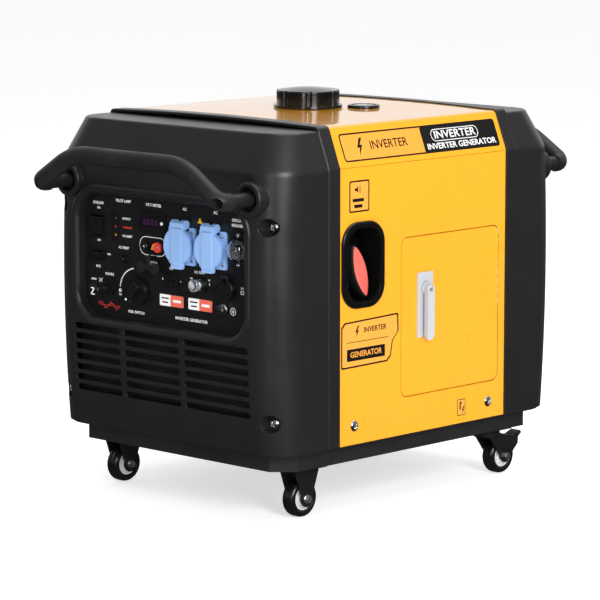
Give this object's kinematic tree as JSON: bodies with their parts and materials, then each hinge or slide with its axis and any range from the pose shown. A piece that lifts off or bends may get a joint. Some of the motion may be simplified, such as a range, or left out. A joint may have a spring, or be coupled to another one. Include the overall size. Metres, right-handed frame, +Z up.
{
  "type": "inverter generator",
  "caption": "Closed-frame inverter generator with control panel, louvred end covers, carrying handles, recoil starter, service door and casters.",
  "frame": {"origin": "on the floor under the middle of the case", "axes": "+Z up, -Y towards the control panel, +X towards the recoil starter and the service door"},
  "size_m": [0.4477, 0.7096, 0.547],
  "materials": {
    "case_yellow": "gloss",
    "cover_plastic": "fine satin grain",
    "panel_plastic": "satin",
    "black_steel": "powder coat",
    "chrome_screw": "polished",
    "blue_plastic": "satin",
    "red_plastic": "satin",
    "white_plastic": "satin",
    "light_plastic": "satin",
    "handle_black": "fine powder coat",
    "rubber": "matte",
    "tyre_rubber": "matte",
    "cast_aluminium": "as cast",
    "steel": "machined",
    "tank_paint": "gloss",
    "muffler_steel": "heat tinted"
  },
  "bodies": {
    "case": {"base_tray": "black_steel", "inner_frame": "black_steel", "front_cover": "cover_plastic", "rear_cover": "cover_plastic", "top_cover": "case_yellow", "right_panel": "case_yellow", "left_panel": "case_yellow", "control_panel": "panel_plastic", "screws": "chrome_screw", "front_handle": "handle_black", "rear_handle": "handle_black", "handle_spacers": "black_steel", "recoil_cup": "cover_plastic", "fuel_tank": "tank_paint", "fuel_gauge": "panel_plastic", "engine_block": "cast_aluminium", "cylinder_head": "cast_aluminium", "muffler": "muffler_steel", "air_cleaner": "panel_plastic", "carburettor": "cast_aluminium", "fan_shroud": "cover_plastic", "stator": "steel", "inverter_module": "cast_aluminium", "ac_sockets": "blue_plastic", "panel_trims": "panel_plastic", "outlet_bodies": "panel_plastic", "breaker_body": "panel_plastic", "caster_mounts": "black_steel"},
    "wheel_fl": {"wheel_fl": "tyre_rubber"},
    "wheel_fr": {"wheel_fr": "tyre_rubber"},
    "wheel_rl": {"wheel_rl": "tyre_rubber"},
    "wheel_rr": {"wheel_rr": "tyre_rubber"},
    "fork_rl": {"fork_rl": "black_steel"},
    "pedal_rl": {"pedal_rl": "black_steel"},
    "fork_rr": {"fork_rr": "black_steel"},
    "pedal_rr": {"pedal_rr": "black_steel"},
    "cap_seal": {"cap_seal": "rubber"},
    "fuel_cap": {"fuel_cap": "panel_plastic"},
    "engine_rocker": {"engine_rocker": "panel_plastic"},
    "eco_rocker": {"eco_rocker": "panel_plastic"},
    "ac_reset_button": {"ac_reset_button": "panel_plastic"},
    "dc_reset_button": {"dc_reset_button": "white_plastic"},
    "meter_button": {"meter_button": "white_plastic"},
    "choke_knob": {"choke_knob": "panel_plastic"},
    "fuel_knob": {"fuel_knob": "panel_plastic"},
    "socket_lid_left": {"socket_lid_left": "blue_plastic"},
    "socket_lid_right": {"socket_lid_right": "blue_plastic"},
    "dc_outlet_flap": {"dc_outlet_flap": "panel_plastic"},
    "dust_cover": {"dust_cover": "rubber"},
    "breaker_lever": {"breaker_lever": "panel_plastic"},
    "ground_nut": {"ground_nut": "chrome_screw"},
    "latch_rotor": {"latch_rotor": "light_plastic"},
    "latch_handle": {"latch_handle": "light_plastic"},
    "recoil_grip": {"recoil_grip": "panel_plastic"},
    "starter_pulley": {"starter_pulley": "panel_plastic"},
    "oil_dipstick": {"oil_dipstick": "red_plastic"},
    "service_door": {"service_door": "case_yellow", "latch_plate": "light_plastic"},
    "crankshaft": {"crankshaft": "steel", "cooling_fan": "panel_plastic"}
  },
  "joints": [
    {"name": "wheel_fl_spin", "type": "hinge", "parent": "case", "child": "wheel_fl", "pos_m": [-0.1694, -0.194, 0.025], "axis": [1, 0, 0], "continuous": true},
    {"name": "wheel_fr_spin", "type": "hinge", "parent": "case", "child": "wheel_fr", "pos_m": [0.1694, -0.194, 0.025], "axis": [1, 0, 0], "continuous": true},
    {"name": "fork_rl_swivel", "type": "hinge", "parent": "case", "child": "fork_rl", "pos_m": [-0.1694, 0.185, 0.0594], "axis": [0, 0, 1], "continuous": true},
    {"name": "wheel_rl_spin", "type": "hinge", "parent": "fork_rl", "child": "wheel_rl", "pos_m": [-0.1694, 0.21, 0.025], "axis": [1, 0, 0], "continuous": true},
    {"name": "pedal_rl_press", "type": "hinge", "parent": "fork_rl", "child": "pedal_rl", "pos_m": [-0.1694, 0.232, 0.046], "axis": [1, 0, 0], "range_deg": [-16, 0]},
    {"name": "fork_rr_swivel", "type": "hinge", "parent": "case", "child": "fork_rr", "pos_m": [0.1694, 0.185, 0.0594], "axis": [0, 0, 1], "continuous": true},
    {"name": "wheel_rr_spin", "type": "hinge", "parent": "fork_rr", "child": "wheel_rr", "pos_m": [0.1694, 0.21, 0.025], "axis": [1, 0, 0], "continuous": true},
    {"name": "pedal_rr_press", "type": "hinge", "parent": "fork_rr", "child": "pedal_rr", "pos_m": [0.1694, 0.232, 0.046], "axis": [1, 0, 0], "range_deg": [-16, 0]},
    {"name": "cap_lift", "type": "slide", "parent": "case", "child": "cap_seal", "axis": [0, 0, 1], "range_m": [0, 0.06]},
    {"name": "cap_turn", "type": "hinge", "parent": "cap_seal", "child": "fuel_cap", "pos_m": [0, 0, 0.53], "axis": [0, 0, 1], "range_deg": [0, 90]},
    {"name": "engine_switch", "type": "hinge", "parent": "case", "child": "engine_rocker", "pos_m": [-0.132, -0.2731, 0.3685], "axis": [1, 0, 0], "range_deg": [-12, 0]},
    {"name": "eco_switch", "type": "hinge", "parent": "case", "child": "eco_rocker", "pos_m": [-0.132, -0.2731, 0.3285], "axis": [1, 0, 0], "range_deg": [-14, 0]},
    {"name": "ac_reset_push", "type": "slide", "parent": "case", "child": "ac_reset_button", "axis": [0, 1, 0], "range_m": [0, 0.003], "stiffness_N_per_m": 300},
    {"name": "dc_reset_push", "type": "slide", "parent": "case", "child": "dc_reset_button", "axis": [0, 1, 0], "range_m": [0, 0.003], "stiffness_N_per_m": 300},
    {"name": "meter_push", "type": "slide", "parent": "case", "child": "meter_button", "axis": [0, 1, 0], "range_m": [0, 0.001], "stiffness_N_per_m": 300},
    {"name": "choke_pull", "type": "slide", "parent": "case", "child": "choke_knob", "axis": [0, -1, 0], "range_m": [0, 0.018]},
    {"name": "fuel_valve", "type": "hinge", "parent": "case", "child": "fuel_knob", "pos_m": [-0.053, -0.275, 0.286], "axis": [0, 1, 0], "range_deg": [0, 90]},
    {"name": "socket_lid_left_open", "type": "hinge", "parent": "case", "child": "socket_lid_left", "pos_m": [0.033, -0.2786, 0.3845], "axis": [-1, 0, 0], "range_deg": [0, 105], "stiffness_Nm_per_rad": 0.005},
    {"name": "socket_lid_right_open", "type": "hinge", "parent": "case", "child": "socket_lid_right", "pos_m": [0.0903, -0.2786, 0.3845], "axis": [-1, 0, 0], "range_deg": [0, 105], "stiffness_Nm_per_rad": 0.005},
    {"name": "dc_outlet_flap_open", "type": "hinge", "parent": "case", "child": "dc_outlet_flap", "pos_m": [0.117, -0.2782, 0.321], "axis": [-1, 0, 0], "range_deg": [0, 90]},
    {"name": "dust_cover_flip", "type": "hinge", "parent": "case", "child": "dust_cover", "pos_m": [-0.0254, -0.281, 0.335], "axis": [-1, 0, 0], "range_deg": [0, 180]},
    {"name": "breaker_throw", "type": "hinge", "parent": "case", "child": "breaker_lever", "pos_m": [0.1365, -0.2695, 0.3588], "axis": [1, 0, 0], "range_deg": [-18, 18]},
    {"name": "ground_nut_turn", "type": "hinge", "parent": "case", "child": "ground_nut", "pos_m": [0.11, -0.278, 0.279], "axis": [0, 1, 0], "continuous": true},
    {"name": "service_door_swing", "type": "hinge", "parent": "case", "child": "service_door", "pos_m": [0.21, 0.161, 0.253], "axis": [0, 0, 1], "range_deg": [0, 95]},
    {"name": "latch_turn", "type": "hinge", "parent": "service_door", "child": "latch_rotor", "pos_m": [0.21, 0.0003, 0.289], "axis": [-1, 0, 0], "range_deg": [0, 90]},
    {"name": "latch_handle_lift", "type": "hinge", "parent": "latch_rotor", "child": "latch_handle", "pos_m": [0.2252, 0.0003, 0.292], "axis": [0, -1, 0], "range_deg": [0, 60]},
    {"name": "recoil_pull", "type": "slide", "parent": "case", "child": "recoil_grip", "axis": [1, 0, 0], "range_m": [0, 0.4], "stiffness_N_per_m": 8},
    {"name": "starter_pulley_turn", "type": "hinge", "parent": "case", "child": "starter_pulley", "pos_m": [0.145, -0.095, 0.235], "axis": [1, 0, 0], "range_deg": [0, 610]},
    {"name": "crankshaft_spin", "type": "hinge", "parent": "case", "child": "crankshaft", "pos_m": [0, -0.095, 0.235], "axis": [1, 0, 0], "continuous": true},
    {"name": "dipstick_draw", "type": "slide", "parent": "case", "child": "oil_dipstick", "axis": [0, 0.766, 0.6428], "range_m": [0, 0.045]}
  ],
  "couplings": [
    {"joint": "starter_pulley_turn", "follows": "recoil_pull", "rad_per_m": 26.316}
  ]
}
